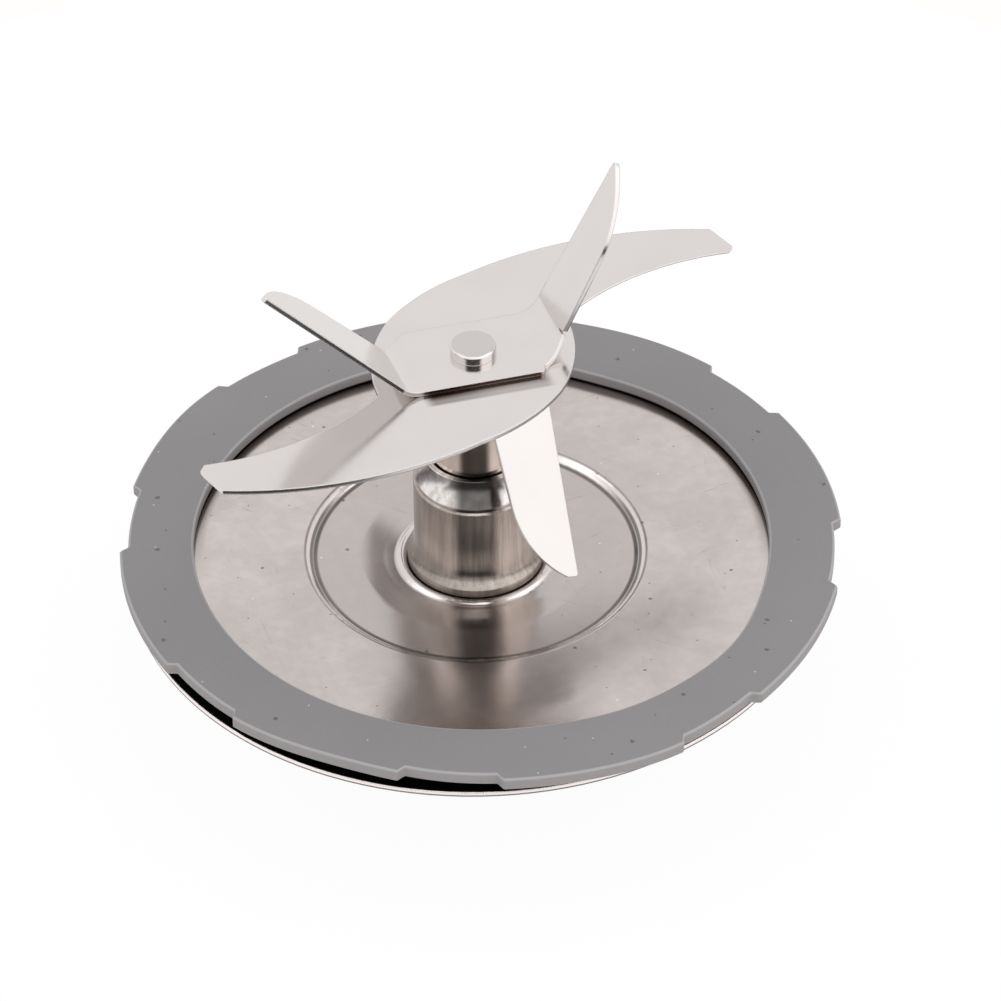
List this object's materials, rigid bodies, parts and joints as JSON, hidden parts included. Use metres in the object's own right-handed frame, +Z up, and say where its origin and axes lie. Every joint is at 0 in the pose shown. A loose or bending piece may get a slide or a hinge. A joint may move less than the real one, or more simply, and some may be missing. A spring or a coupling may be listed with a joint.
{
  "type": "blender blade assembly",
  "caption": "Blender blade unit: stacked flat and bent cutting blades on a sealed spindle hub, set in a stamped steel base disc with a notched rubber sealing ring.",
  "frame": {"origin": "on the spindle's axis, in the plane of the disc rim's underside, where the jar's screw collar bears", "axes": "+Z up along the spindle, towards the blades; +X to the right in the picture, whose view looks along +Y and down"},
  "size_m": [0.0819, 0.0819, 0.0694],
  "materials": {
    "disc_steel": "satin, lightly smudged",
    "grey_rubber": "matt",
    "turned_steel": "fine turned",
    "polished_steel": "polished",
    "blade_steel": "satin",
    "clip_steel": "plain spring steel",
    "black_rubber": "matt",
    "bronze": "sintered, oiled",
    "felt": "soft",
    "washer_plastic": "smooth"
  },
  "bodies": {
    "base": {"base_disc": "disc_steel", "sealing_gasket": "grey_rubber", "bearing_housing": "turned_steel", "seal_cap": "polished_steel", "housing_seal": "black_rubber", "lock_washer": "turned_steel", "housing_nut": "turned_steel", "upper_bushing": "bronze", "lower_bushing": "bronze", "oil_felt": "felt", "upper_thrust_washer": "washer_plastic", "shaft_seal": "black_rubber"},
    "rotor": {"spindle": "turned_steel", "upper_blade": "blade_steel", "middle_blade": "blade_steel", "lower_blade": "blade_steel", "lower_thrust_washer": "washer_plastic", "retaining_clip": "clip_steel"}
  },
  "joints": [
    {"name": "spindle_spin", "type": "hinge", "parent": "base", "child": "rotor", "pos_m": [0, 0, 0], "axis": [0, 0, 1], "continuous": true}
  ]
}
